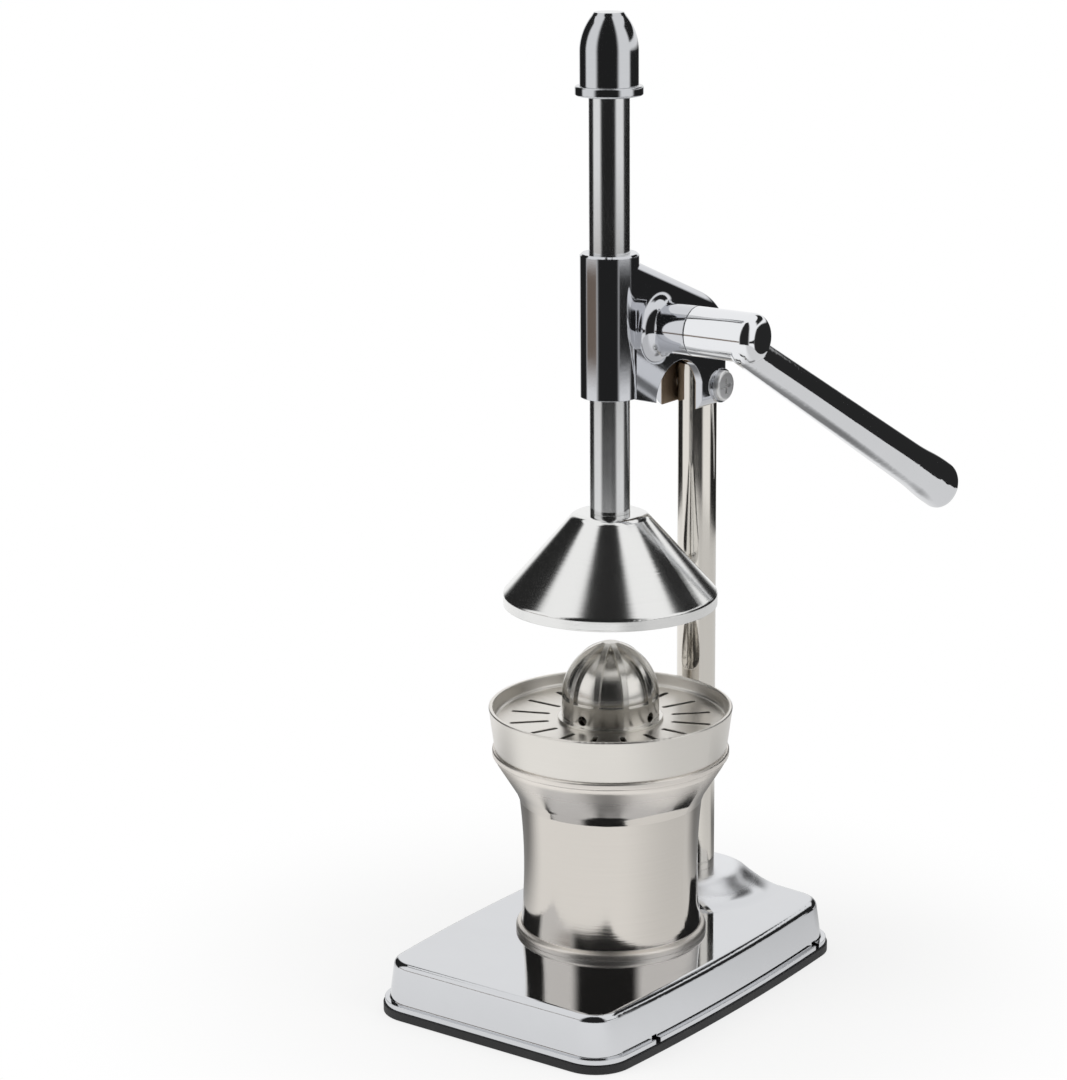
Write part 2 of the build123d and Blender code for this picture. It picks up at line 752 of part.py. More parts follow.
with BuildPart() as end_screw:
    with BuildSketch(pinion_plane(shaft_left_end - end_washer_thickness)):
        Circle(end_screw_head_radius)
    extrude(amount=-end_screw_head_height)
    fillet(end_screw.faces().sort_by(Axis.X)[0].edges(), end_screw_round)
    with BuildSketch(pinion_plane(shaft_left_end - end_washer_thickness - end_screw_head_height)):
        Rectangle(cross_length, cross_width)
        Rectangle(cross_width, cross_length)
    extrude(amount=cross_depth, mode=Mode.SUBTRACT)
    with BuildSketch(pinion_plane(shaft_left_end - end_washer_thickness)):
        Circle(end_screw_diameter / 2)
    extrude(amount=end_washer_thickness + end_screw_reach)
end_screw.part.label = "end_screw"
export_step(end_screw.part, "parts/end_screw.step")


# Lever: hub along the shaft, and an arm that swells to a rounded end
def arm_form():
    """Arm along +Z from its round root: a turned shape, flattened to an oval."""
    root = arm_root_depth / 2
    neck = root + arm_taper
    bulb = neck + arm_swell
    end_round = bulb * arm_end_share
    neck_at = arm_length * arm_neck_share
    bulb_at = arm_length * arm_bulb_share
    end_at = arm_length - end_round
    with BuildPart() as arm:
        with BuildSketch(Plane.XZ):
            with BuildLine():
                side = Line((root, 0), (neck, neck_at))
                swell = TangentArc(
                    (neck, neck_at), ((neck + bulb) / 2, (neck_at + bulb_at) / 2), tangent=side % 1
                )
                crown = TangentArc(swell @ 1, (bulb, bulb_at), tangent=swell % 1)
                Line(crown @ 1, (bulb, end_at))
                TangentArc((bulb, end_at), (bulb - end_round, arm_length), tangent=(0, 1))
                Polyline((bulb - end_round, arm_length), (0, arm_length), (0, -root))
                TangentArc((0, -root), (root, 0), tangent=(1, 0))
            make_face()
        revolve(axis=Axis.Z)
        scale(by=(arm_width_share, 1, 1))
    return arm.part


set_screw_x = hub_start + set_screw_inset
arm_cos = cos(radians(arm_droop))
arm_sin = sin(radians(arm_droop))
arm_root_y = pinion_y - arm_drop * arm_sin
arm_root_z = pinion_z - arm_drop * arm_cos
arm_plane = Plane(
    (hub_end - arm_inset, arm_root_y, arm_root_z), x_dir=(1, 0, 0), z_dir=(0, arm_cos, -arm_sin)
)

with BuildPart() as lever_handle:
    with BuildSketch(pinion_plane(hub_start)):
        Circle(boss_radius)
    extrude(amount=hub_end - hub_start)
    fillet(lever_handle.faces().sort_by(Axis.X)[-1].edges(), hub_end_radius)
    with Locations(arm_plane.location):
        add(arm_form())
    with BuildSketch(pinion_plane(hub_start)):
        Circle(shaft_radius + fixed_clearance)
    extrude(amount=shaft_right_end + face_gap - hub_start, mode=Mode.SUBTRACT)
    with BuildSketch(Plane.XY.offset(pinion_z)):
        with Locations((set_screw_x, pinion_y)):
            Circle(set_screw_diameter / 2 + fixed_clearance)
    extrude(amount=-boss_radius - overrun, mode=Mode.SUBTRACT)
lever_handle.part.label = "lever_handle"
export_step(lever_handle.part, "parts/lever_handle.step")

with BuildPart() as lever_set_screw:
    with BuildSketch(Plane.XY.offset(pinion_z - shaft_radius - fixed_clearance)):
        with Locations((set_screw_x, pinion_y)):
            Circle(set_screw_diameter / 2)
    extrude(amount=-(boss_radius - shaft_radius - set_screw_recess))
    with BuildSketch(lever_set_screw.faces().sort_by(Axis.Z)[0]):
        RegularPolygon(set_screw_socket / 2, 6, major_radius=False)
    extrude(amount=-set_screw_socket_depth, mode=Mode.SUBTRACT)
lever_set_screw.part.label = "lever_set_screw"
export_step(lever_set_screw.part, "parts/lever_set_screw.step")

# Press rod, with the rack cut into its back
rack_reach = ceil((press_travel + pinion_outer_radius) / rack_pitch)
groove_heights = [
    pinion_z + rack_pitch * (index + 1 / 2) for index in range(-rack_reach, rack_reach)
]
flank_slope = tan(radians(pressure_angle))
groove_half = rack_pitch / 4 + gear_backlash / 2
groove_root = rack_pitch_y - gear_dedendum
groove_mouth = rod_radius + overrun

with BuildPart() as press_rod:
    with BuildSketch(Plane.XY.offset(rod_bottom)):
        Circle(rod_radius)
    extrude(amount=knob_bottom - rod_bottom)
    with BuildSketch(Plane.YZ):
        with Locations(*[(0, height) for height in groove_heights]):
            Polygon(
                (groove_root, groove_half - gear_dedendum * flank_slope),
                (groove_mouth, groove_half + (groove_mouth - rack_pitch_y) * flank_slope),
                (groove_mouth, -groove_half - (groove_mouth - rack_pitch_y) * flank_slope),
                (groove_root, -groove_half + gear_dedendum * flank_slope),
                align=None,
            )
        with Locations((rack_pitch_y + rack_addendum, pinion_z)):
            Rectangle(rod_radius, 2 * rack_reach * rack_pitch, align=(Align.MIN, Align.CENTER))
    extrude(amount=rack_half_width, both=True, mode=Mode.SUBTRACT)
    with BuildSketch(Plane.XY.offset(rod_bottom)):
        Circle(cone_bolt_diameter / 2 + fixed_clearance)
    extrude(amount=cone_bolt_reach + overrun, mode=Mode.SUBTRACT)
    with BuildSketch(Plane.XY.offset(knob_bottom)):
        Circle(stud_diameter / 2 + fixed_clearance)
    extrude(amount=-stud_reach - overrun, mode=Mode.SUBTRACT)
press_rod.part.label = "press_rod"
export_step(press_rod.part, "parts/press_rod.step")

# Knob and the stud that holds it
with BuildPart() as top_knob:
    with BuildSketch(Plane.XZ):
        knob_flange_radius = knob_radius + knob_flange_step
        flange_top = knob_bottom + knob_flange_height
        side_top = flange_top + knob_side_height
        nose_top = side_top + knob_nose_height
        nose_radius = knob_radius - knob_nose_draw
        knob_top = nose_top + knob_tip_height
        with BuildLine():
            Polyline(
                (0, knob_top),
                (0, knob_bottom),
                (knob_flange_radius, knob_bottom),
                (knob_flange_radius, flange_top),
                (knob_radius, flange_top),
                (knob_radius, side_top),
            )
            TangentArc((knob_radius, side_top), (nose_radius, nose_top), tangent=(0, 1))
            Polyline((nose_radius, nose_top), (nose_radius - knob_tip_bevel, knob_top), (0, knob_top))
        make_face()
    revolve(axis=Axis.Z)
    flange_edges = top_knob.edges().filter_by(GeomType.CIRCLE).filter_by(
        lambda e: abs(e.radius - knob_flange_radius) < fixed_clearance
    )
    fillet(flange_edges, knob_edge_radius)
    with BuildSketch(Plane.XY.offset(knob_bottom)):
        Circle(stud_diameter / 2 + fixed_clearance)
    extrude(amount=stud_reach + overrun, mode=Mode.SUBTRACT)
top_knob.part.label = "top_knob"
export_step(top_knob.part, "parts/top_knob.step")

with BuildPart() as knob_stud:
    with BuildSketch(Plane.XY.offset(knob_bottom)):
        Circle(stud_diameter / 2)
    extrude(amount=stud_reach, both=True)
knob_stud.part.label = "knob_stud"
export_step(knob_stud.part, "parts/knob_stud.step")

# Press cone, with its washer and bolt
cone_plate_bottom = rod_bottom - cone_sheet
cone_washer_bottom = cone_plate_bottom - cone_washer_thickness

with BuildPart() as press_cone:
    with BuildSketch(Plane.XZ):
        with BuildLine():
            FilletPolyline(
                (cone_bolt_diameter / 2 + fixed_clearance, rod_bottom),
                (cone_shoulder_radius, rod_bottom),
                (cone_rim_radius, cone_rim_bottom + cone_lip_height),
                (cone_rim_radius, cone_rim_bottom),
                radius=[cone_shoulder_round, cone_sheet + cone_lip_inner_round],
            )
            offset(amount=cone_sheet, side=Side.RIGHT)
        make_face()
    revolve(axis=Axis.Z)
press_cone.part.label = "press_cone"
export_step(press_cone.part, "parts/press_cone.step")

with BuildPart() as cone_washer:
    with BuildSketch(Plane.XY.offset(cone_washer_bottom)):
        Circle(cone_washer_radius)
        Circle(cone_bolt_diameter / 2 + fixed_clearance, mode=Mode.SUBTRACT)
    extrude(amount=cone_washer_thickness)
cone_washer.part.label = "cone_washer"
export_step(cone_washer.part, "parts/cone_washer.step")

with BuildPart() as cone_bolt:
    with BuildSketch(Plane.XY.offset(cone_washer_bottom)):
        RegularPolygon(cone_bolt_flats / 2, 6, major_radius=False)
    extrude(amount=-cone_bolt_head)
    with BuildSketch(Plane.XY.offset(cone_washer_bottom)):
        Circle(cone_bolt_diameter / 2)
    extrude(amount=rod_bottom + cone_bolt_reach - cone_washer_bottom)
cone_bolt.part.label = "cone_bolt"
export_step(cone_bolt.part, "parts/cone_bolt.step")

# Juice cup
with BuildPart() as juice_cup:
    with BuildSketch(Plane.XZ):
        with BuildLine():
            heel = base_top + cup_heel_round
            Line((0, base_top), (cup_heel_radius - cup_heel_round, base_top))
            TangentArc(
                (cup_heel_radius - cup_heel_round, base_top),
                (cup_heel_radius, heel),
                tangent=(1, 0),
            )
            ThreePointArc(
                (cup_heel_radius, heel),
                (cup_waist_radius, (heel + cup_crease_z) / 2),
                (cup_crease_radius, cup_crease_z),
            )
            FilletPolyline(
                (cup_crease_radius, cup_crease_z),
                (cup_flare_radius, cup_flare_z),
                (cup_shoulder_radius, cup_shoulder_z),
                (cup_shoulder_radius, cup_bead_z),
                radius=[cup_flare_round, cup_shoulder_round],
            )
            Line((cup_shoulder_radius, cup_bead_z), (cup_neck_radius, skirt_base))
            Line((cup_neck_radius, skirt_base), (cup_neck_radius, cup_top))
            offset(amount=cup_sheet, side=Side.LEFT)
        make_face()
    revolve(axis=Axis.Z)
    with BuildSketch(Plane.XZ):
        with BuildLine():
            Polyline(
                (cup_heel_radius - cup_heel_round, base_top),
                (cup_foot_radius, base_top),
                (cup_foot_radius, base_top + cup_foot_height),
                (cup_heel_radius - cup_sheet / 2, base_top + cup_foot_height + cup_sheet),
                close=True,
            )
        make_face()
        with BuildLine():
            Polyline(
                (cup_neck_radius - cup_sheet / 2, cup_bead_z),
                (cup_bead_radius, cup_bead_z),
                (cup_bead_radius, skirt_base),
                (cup_neck_radius - cup_sheet / 2, skirt_base),
                close=True,
            )
        make_face()
    revolve(axis=Axis.Z)
    bead_edges = juice_cup.edges().filter_by(GeomType.CIRCLE).filter_by(
        lambda e: abs(e.radius - cup_bead_radius) < fixed_clearance
    )
    fillet(bead_edges, cup_bead_round)
    foot_edges = juice_cup.edges().filter_by(GeomType.CIRCLE).filter_by(
        lambda e: abs(e.radius - cup_foot_radius) < fixed_clearance and e.center().Z > base_top + cup_sheet
    )
    fillet(foot_edges, cup_foot_round)
juice_cup.part.label = "juice_cup"
export_step(juice_cup.part, "parts/juice_cup.step")

# Strainer, a pan with a skirt that stands on the cup's bead
with BuildPart() as strainer_bowl:
    with BuildSketch(Plane.XZ) as pan:
        with BuildLine():
            floor_bottom = strainer_floor - strainer_sheet
            Polyline(
                (reamer_radius - reamer_sheet, strainer_floor),
                (strainer_well_radius, strainer_floor),
                (strainer_rim_radius - strainer_rim_width, strainer_rim),
                (strainer_rim_radius, strainer_rim),
                (skirt_base_radius, skirt_base),
                (skirt_base_radius - strainer_sheet, skirt_base),
                (strainer_well_radius - strainer_sheet, floor_bottom),
                (reamer_radius - reamer_sheet, floor_bottom),
                close=True,
            )
        make_face()
        floor_corner = pan.vertices().group_by(Axis.Y)[-2].sort_by(Axis.X)[-1]
        fillet(floor_corner, strainer_floor_round)
        rim_corners = pan.vertices().group_by(Axis.Y)[-1]
        fillet(rim_corners, strainer_rim_width / 3)
    revolve(axis=Axis.Z)
    with BuildSketch(Plane.XY.offset(strainer_floor)):
        with PolarLocations((drain_inner_radius + drain_outer_radius) / 2, drain_slots):
            SlotOverall(drain_outer_radius - drain_inner_radius, drain_width)
    extrude(amount=strainer_sheet, both=True, mode=Mode.SUBTRACT)
strainer_bowl.part.label = "strainer_bowl"
export_step(strainer_bowl.part, "parts/strainer_bowl.step")


# Reamer: a hollow dome with ribs, on a neck with drain holes
def reamer_face(inset, rise):
    """Half section of the dome, set in for the hollow or raised for the ribs."""
    side = reamer_radius - inset
    top = reamer_top - inset + rise
    with BuildSketch(Plane.XZ) as half:
        with BuildLine():
            Line((0, top), (0, strainer_floor))
            Line((0, strainer_floor), (side, strainer_floor))
            Line((side, strainer_floor), (side, reamer_shoulder))
            TangentArc((side, reamer_shoulder), (reamer_tip_radius, top), tangent=(0, 1))
            Line((reamer_tip_radius, top), (0, top))
        make_face()
    return half.sketch


with BuildPart() as reamer_cone:
    revolve(reamer_face(reamer_rib_rise, 0), axis=Axis.Z)
    for index in range(reamer_ribs):
        rib_plane = Plane.XZ.rotated((0, 0, 360 * index / reamer_ribs))
        with BuildSketch(rib_plane):
            add(reamer_face(0, reamer_rib_rise))
        extrude(amount=reamer_rib_width / 2, both=True)
    with BuildSketch(Plane.XY.offset(strainer_floor)):
        Circle(reamer_radius)
    extrude(amount=reamer_shoulder - strainer_floor)
    with BuildSketch(Plane.XY.offset(strainer_floor)):
        Circle(reamer_flange_radius)
    extrude(amount=reamer_flange_height)
    revolve(reamer_face(reamer_sheet + reamer_rib_rise, 0), axis=Axis.Z, mode=Mode.SUBTRACT)
    for index in range(reamer_holes):
        hole_plane = Plane.XZ.rotated((0, 0, 360 * index / reamer_holes))
        with BuildSketch(hole_plane):
            with Locations((0, strainer_floor + reamer_hole_rise)):
                Circle(reamer_hole_diameter / 2)
        extrude(amount=reamer_radius + overrun, mode=Mode.SUBTRACT)
reamer_cone.part.label = "reamer_cone"
export_step(reamer_cone.part, "parts/reamer_cone.step")
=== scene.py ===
"""Looks of the manual lever juice press: materials, stage, light and camera around its CAD frame."""

import json
import math

import bpy
from mathutils import Matrix, Vector

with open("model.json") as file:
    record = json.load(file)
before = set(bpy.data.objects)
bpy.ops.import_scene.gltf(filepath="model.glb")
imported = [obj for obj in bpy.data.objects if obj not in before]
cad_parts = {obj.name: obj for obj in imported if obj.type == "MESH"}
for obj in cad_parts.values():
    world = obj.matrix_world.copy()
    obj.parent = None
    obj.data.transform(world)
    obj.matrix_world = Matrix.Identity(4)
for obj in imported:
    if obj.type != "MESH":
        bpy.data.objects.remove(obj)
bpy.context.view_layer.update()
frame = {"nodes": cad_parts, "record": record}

# Camera, fitted to the photograph: degrees and metres
STAND_AZIMUTH = 35.13       # where the camera stands, turned from the front towards the lever's side
STAND_DISTANCE = 1.2344     # from the press rod's axis, along the ground
STAND_HEIGHT = 0.5103
LOOK_AZIMUTH = 36.54
LOOK_DOWN = 14.74
LOOK_ROLL = -0.48
SENSOR = 36.0               # millimetres, along the picture's upright side
FOCAL_LENGTH = 107.27
NEAR_CLIP = 0.05

# Surroundings: azimuths on the stage are in degrees from the camera's
WHITE = (1.0, 1.0, 1.0, 1.0)
AMBIENT = 0.55              # light that the surroundings cast on matt surfaces
PICTURE_RIGHT = 90.0
PICTURE_BACK = 180.0

# Floor: each reach is where a change starts and where it is complete
FLOOR_RADIUS = 0.75
FLOOR_CORNERS = 96
FLOOR_DROP = 0.0003         # below the rubber mat
FLOOR_COLOUR = (0.90, 0.90, 0.89, 1.0)
SHADOW_SHARE = 0.24         # share of the floor's own shading that shows
SHADOW_REACH = (0.08, 0.24) # from the press rod, until the shading is gone
DIM_SHARE = 0.28            # how much darker the metal sees the floor towards the picture's right
DIM_REACH = (0.02, 0.20)
BACK_SHARE = 0.80           # how much darker the metal sees the floor behind the press
BACK_REACH = (0.01, 0.12)
BACK_FADE = (0.20, 0.30)    # from the press rod, until that is gone

# Flags: a row of an outline is a distance from the rod, a height, and how clear the cloth is there
FLAG_RADIUS = 0.74
FLAG_COLUMNS = 48
FLAG_SOFT_SHARE = 0.16      # share of a flag's width that fades out at each side
WALL = [(FLAG_RADIUS, 0.0, 0.0), (FLAG_RADIUS, 0.95, 0.0)]
LEANING_WALL = WALL + [(0.62, 1.25, 0.0), (0.40, 1.45, 0.0), (0.24, 1.52, 0.0)]
LOW_WALL = [(FLAG_RADIUS, 0.0, 0.0), (FLAG_RADIUS, 0.33, 0.0), (FLAG_RADIUS, 0.40, 1.0)]
HIGH_WALL = [
    (FLAG_RADIUS, 0.50, 1.0),
    (FLAG_RADIUS, 0.54, 0.0),
    (FLAG_RADIUS, 0.90, 0.0),
    (FLAG_RADIUS, 0.95, 1.0),
]
STRIP = [
    (FLAG_RADIUS, 0.090, 1.0),
    (FLAG_RADIUS, 0.112, 0.0),
    (FLAG_RADIUS, 0.164, 0.0),
    (FLAG_RADIUS, 0.182, 1.0),
]
CLOTHS = {
    "flag_cloth": (0.022, 0.022, 0.022, 1.0),
    "flag_cloth_brown": (0.20, 0.155, 0.125, 1.0),
}
# Azimuths of each flag's two sides, its outline and its cloth
FLAGS = {
    "flag_front": (-58.0, 42.0, LEANING_WALL, "flag_cloth"),
    "flag_right": (78.0, 164.0, LOW_WALL, "flag_cloth"),
    "flag_right_high": (80.0, 156.0, HIGH_WALL, "flag_cloth"),
    "flag_left": (-158.0, -96.0, WALL, "flag_cloth"),
    "strip_right": (30.0, 92.0, STRIP, "flag_cloth"),
    "strip_left": (-104.0, -48.0, STRIP, "flag_cloth_brown"),
}

# Lamps: azimuth, distance, height, size, and power in watts
LAMPS = {
    "lamp_left": (-75.0, 1.3, 0.9, 0.9, 9.0),
    "lamp_right": (60.0, 1.4, 0.8, 0.9, 6.0),
}
LAMP_AIM = Vector((0.0, 0.0, 0.15))

# Hollow of the head, which gets painted shade: its bounds run between the inner and outer faces
HOLLOW_SIDE_GAP = 0.0004    # from the column's sides
HOLLOW_FRONT_GAP = 0.002    # from the press rod's back
ROOF_STEP = 0.0005          # from the head's top down to the roof
ROOF_FALL = 0.0255          # between the press rod's axis and the column's
ROOF_REAR_RADIUS = 0.034    # where the roof turns down at the rear
ROOF_HALF_WALL = 0.0016

# Heights above the base's top where the finish of the cup and the hump changes, and with it their
# paler painted light
CUP_FOOT_TOP = 0.0037
CUP_SHOULDER = (0.0564, 0.0748) # from the crease up to the bead
HUMP_FLANK = (0.0002, 0.0035)

# Streaks: cycles per metre along each axis
PLAIN = (60.0, 60.0, 60.0)
TURNED = (25.0, 25.0, 1500.0)   # fine lines round an upright axis
DRAWN = (900.0, 900.0, 12.0)    # fine lines along an upright axis
CAST = (140.0, 140.0, 140.0)

# Noise: scale, detail and roughness, and the span of its values that is used
STREAK_NOISE = (1.0, 4.0, 0.6)
SMEAR_NOISE = (38.0, 3.0, 0.55)
SMEAR_SPAN = (0.3, 0.7)
GRAIN_NOISE = (1400.0, 3.0, 0.5)
DUST_NOISE = (55.0, 6.0, 0.65)
DUST_SPAN = (0.5, 0.8)

# Metal and rubber: relief and bevels in metres
SMEAR = 0.03                # how much rougher the smears are
TINT = 0.04                 # how much darker the streaks are
FAINT_RELIEF = 0.00001
METAL_BEVEL = 0.0004
BEVEL_SAMPLES = 4
RUBBER_COLOUR = (0.012, 0.012, 0.013, 1.0)
RUBBER_ROUGHNESS = 0.62
RUBBER_BEVEL = 0.0006
GRAIN_RELIEF = 0.00006
DUST_COLOUR = (0.045, 0.044, 0.042, 1.0)
DUST_SHARE = 0.5            # where the dust is thickest


def direction_from_object(azimuth):
    """Level direction at an angle in degrees from the camera's, positive to the picture's right."""
    turn = math.radians(LOOK_AZIMUTH)
    towards = Vector((math.sin(turn), -math.cos(turn), 0.0))
    right = Vector((math.cos(turn), math.sin(turn), 0.0))
    angle = math.radians(azimuth)
    return towards * math.cos(angle) + right * math.sin(angle)


def add_camera():
    """Camera at the photograph's place, with its lens and its slight roll."""
    stand = math.radians(STAND_AZIMUTH)
    turn = math.radians(LOOK_AZIMUTH)
    down = math.radians(LOOK_DOWN)
    roll = math.radians(LOOK_ROLL)
    forward = Vector(
        (-math.sin(turn) * math.cos(down), math.cos(turn) * math.cos(down), -math.sin(down))
    )
    level = Vector((math.cos(turn), math.sin(turn), 0.0))
    right = level * math.cos(roll) + level.cross(forward) * math.sin(roll)
    up = right.cross(forward)
    place = Matrix((right, up, -forward)).transposed().to_4x4()
    place.translation = (
        STAND_DISTANCE * math.sin(stand),
        -STAND_DISTANCE * math.cos(stand),
        STAND_HEIGHT,
    )
    data = bpy.data.cameras.new("camera")
    data.sensor_fit = "VERTICAL"
    data.sensor_height = SENSOR
    data.lens = FOCAL_LENGTH
    data.clip_start = NEAR_CLIP
    camera = bpy.data.objects.new("camera", data)
    camera.matrix_world = place
    bpy.context.scene.collection.objects.link(camera)
    bpy.context.scene.camera = camera


class Nodes:
    """Short way to add and join a material's or a world's nodes."""

    def __init__(self, tree):
        self.tree = tree
        tree.nodes.clear()

    def add(self, kind, inputs=None, **settings):
        """New node with its settings, and with its inputs joined to sockets or set to values."""
        node = self.tree.nodes.new(kind)
        for name, value in settings.items():
            setattr(node, name, value)
        for name, value in (inputs or {}).items():
            if isinstance(value, bpy.types.NodeSocket):
                self.tree.links.new(value, node.inputs[name])
            else:
                node.inputs[name].default_value = value
        return node

    def math(self, operation, first, second=0.0):
        return self.add("ShaderNodeMath", {0: first, 1: second}, operation=operation).outputs[0]

    def length(self, first, second):
        """Length of a line from its parts along two axes."""
        squares = [self.math("MULTIPLY", side, side) for side in (first, second)]
        return self.math("SQRT", self.math("ADD", *squares))

    def along(self, place, direction):
        """How far a place lies from the origin along a direction."""
        inputs = {0: place, 1: direction}
        return self.add("ShaderNodeVectorMath", inputs, operation="DOT_PRODUCT").outputs["Value"]

    def ramp(self, value, reach, start, end, shape="SMOOTHSTEP"):
        """Change from start to end while the value crosses the reach."""
        span = {"From Min": reach[0], "From Max": reach[1], "To Min": start, "To Max": end}
        inputs = {"Value": value, **span}
        return self.add("ShaderNodeMapRange", inputs, interpolation_type=shape).outputs["Result"]

    def noise(self, place, scale, detail, roughness):
        inputs = {"Vector": place, "Scale": scale, "Detail": detail, "Roughness": roughness}
        return self.add("ShaderNodeTexNoise", inputs).outputs["Fac"]

    def mix(self, share, first, second, kind="RGBA"):
        inputs = {"Factor": share, "A": first, "B": second}
        return self.add("ShaderNodeMix", inputs, data_type=kind).outputs["Result"]

    def mix_shaders(self, share, first, second):
        inputs = {0: share, 1: first.outputs[0], 2: second.outputs[0]}
        return self.add("ShaderNodeMixShader", inputs)

    def rounded_relief(self, height, relief, bevel):
        """Normal of a surface with rounded edges and a fine relief."""
        rounded = self.add("ShaderNodeBevel", {"Radius": bevel}, samples=BEVEL_SAMPLES)
        inputs = {"Height": height, "Distance": relief, "Normal": rounded.outputs["Normal"]}
        return self.add("ShaderNodeBump", inputs).outputs["Normal"]

    def seen_in_metal(self):
        """One for rays from the camera, or from polished or clear surfaces, and zero for the rest."""
        path = self.add("ShaderNodeLightPath").outputs
        seen = self.math("MAXIMUM", path["Is Camera Ray"], path["Is Glossy Ray"])
        return self.math("MAXIMUM", seen, path["Is Transmission Ray"])


def new_material(name):
    """Empty material, and the short way to its nodes."""
    material = bpy.data.materials.new(name)
    material.use_nodes = True
    return material, Nodes(material.node_tree)


def add_world():
    """White surroundings for the camera and the metal, and a plain level of light."""
    world = bpy.data.worlds.new("surroundings")
    world.use_nodes = True
    n = Nodes(world.node_tree)
    shown = n.add("ShaderNodeBackground", {"Color": WHITE, "Strength": 1.0})
    cast = n.add("ShaderNodeBackground", {"Color": WHITE, "Strength": AMBIENT})
    mix = n.mix_shaders(n.seen_in_metal(), cast, shown)
    n.add("ShaderNodeOutputWorld", {"Surface": mix.outputs[0]})
    bpy.context.scene.world = world


def floor_material():
    """White with a soft shadow near the press, and darker in the metal at the right and the back."""
    material, n = new_material("floor")
    place = n.add("ShaderNodeTexCoord").outputs["Object"]
    reach = n.add("ShaderNodeVectorMath", {0: place}, operation="LENGTH").outputs["Value"]
    aside = n.along(place, direction_from_object(PICTURE_RIGHT))
    back = n.along(place, direction_from_object(PICTURE_BACK))
    fall = n.ramp(aside, DIM_REACH, 0.0, DIM_SHARE)
    behind = n.ramp(back, BACK_REACH, 0.0, BACK_SHARE)
    close = n.ramp(reach, BACK_FADE, 1.0, 0.0)
    dim = n.math("MAXIMUM", fall, n.math("MULTIPLY", behind, close))
    in_metal = n.add("ShaderNodeLightPath").outputs["Is Glossy Ray"]
    glow = n.math("SUBTRACT", 1.0, n.math("MULTIPLY", in_metal, dim))
    white = n.add("ShaderNodeEmission", {"Color": WHITE, "Strength": glow})
    lit = n.add("ShaderNodeBsdfDiffuse", {"Color": FLOOR_COLOUR})
    near = n.ramp(reach, SHADOW_REACH, SHADOW_SHARE, 0.0)
    shaded = n.mix_shaders(near, white, lit)
    skin = n.mix_shaders(n.seen_in_metal(), lit, shaded)
    n.add("ShaderNodeOutputMaterial", {"Surface": skin.outputs[0]})
    return material


def add_floor():
    """Pale round floor under the press, which fades out into white."""
    ring = []
    for i in range(FLOOR_CORNERS):
        angle = 2 * math.pi * i / FLOOR_CORNERS
        ring.append((FLOOR_RADIUS * math.cos(angle), FLOOR_RADIUS * math.sin(angle), -FLOOR_DROP))
    mesh = bpy.data.meshes.new("floor")
    mesh.from_pydata(ring, [], [list(range(FLOOR_CORNERS))])
    mesh.materials.append(floor_material())
    floor = bpy.data.objects.new("floor", mesh)
    bpy.context.scene.collection.objects.link(floor)


def flag_material(name, colour):
    """Cloth of the flags, which fades to the white of the surroundings at its edges."""
    material, n = new_material(name)
    fade = n.add("ShaderNodeAttribute", attribute_name="fade").outputs["Fac"]
    cloth = n.add("ShaderNodeEmission", {"Color": colour})
    clear = n.add("ShaderNodeBsdfTransparent")
    mix = n.mix_shaders(fade, cloth, clear)
    n.add("ShaderNodeOutputMaterial", {"Surface": mix.outputs[0]})
    return material


def add_flag(name, start, end, outline, material):
    """Curved dark panel round the stage that only polished metal sees, as in a studio."""
    points = []
    fades = []
    for column in range(FLAG_COLUMNS + 1):
        across = column / FLAG_COLUMNS
        heading = direction_from_object(start + (end - start) * across)
        from_side = min(across, 1 - across) / FLAG_SOFT_SHARE
        soft = max(0.0, 1.0 - from_side)
        for radius, height, clear in outline:
            points.append(heading * radius + Vector((0.0, 0.0, height)))
            fades.append(max(clear, soft * soft * (3 - 2 * soft)))
    rows = len(outline)
    faces = []
    for column in range(FLAG_COLUMNS):
        for row in range(rows - 1):
            corner = column * rows + row
            faces.append((corner, corner + rows, corner + rows + 1, corner + 1))
    mesh = bpy.data.meshes.new(name)
    mesh.from_pydata(points, [], faces)
    attribute = mesh.attributes.new("fade", "FLOAT", "POINT")
    attribute.data.foreach_set("value", fades)
    mesh.materials.append(material)
    flag = bpy.data.objects.new(name, mesh)
    bpy.context.scene.collection.objects.link(flag)
    flag.visible_camera = False
    flag.visible_diffuse = False
    flag.visible_shadow = False
    flag.visible_transmission = False


def add_flags():
    """Flags behind the camera and at the sides, white between them, and low strips for the head."""
    cloths = {name: flag_material(name, colour) for name, colour in CLOTHS.items()}
    for name, (start, end, outline, cloth) in FLAGS.items():
        add_flag(name, start, end, outline, cloths[cloth])


def add_lamp(name, azimuth, distance, height, size, power):
    """Soft square lamp that faces the press, for the matt surfaces and the shadow."""
    data = bpy.data.lights.new(name, "AREA")
    data.shape = "SQUARE"
    data.size = size
    data.energy = power
    lamp = bpy.data.objects.new(name, data)
    place = direction_from_object(azimuth) * distance + Vector((0.0, 0.0, height))
    turn = (LAMP_AIM - place).to_track_quat("-Z", "Y").to_matrix().to_4x4()
    lamp.matrix_world = Matrix.Translation(place) @ turn
    lamp.visible_glossy = False
    bpy.context.scene.collection.objects.link(lamp)


def box_of(node):
    """Lowest and highest corner of a CAD piece at rest."""
    axes = list(zip(*frame["nodes"][node].bound_box))
    return Vector([min(axis) for axis in axes]), Vector([max(axis) for axis in axes])


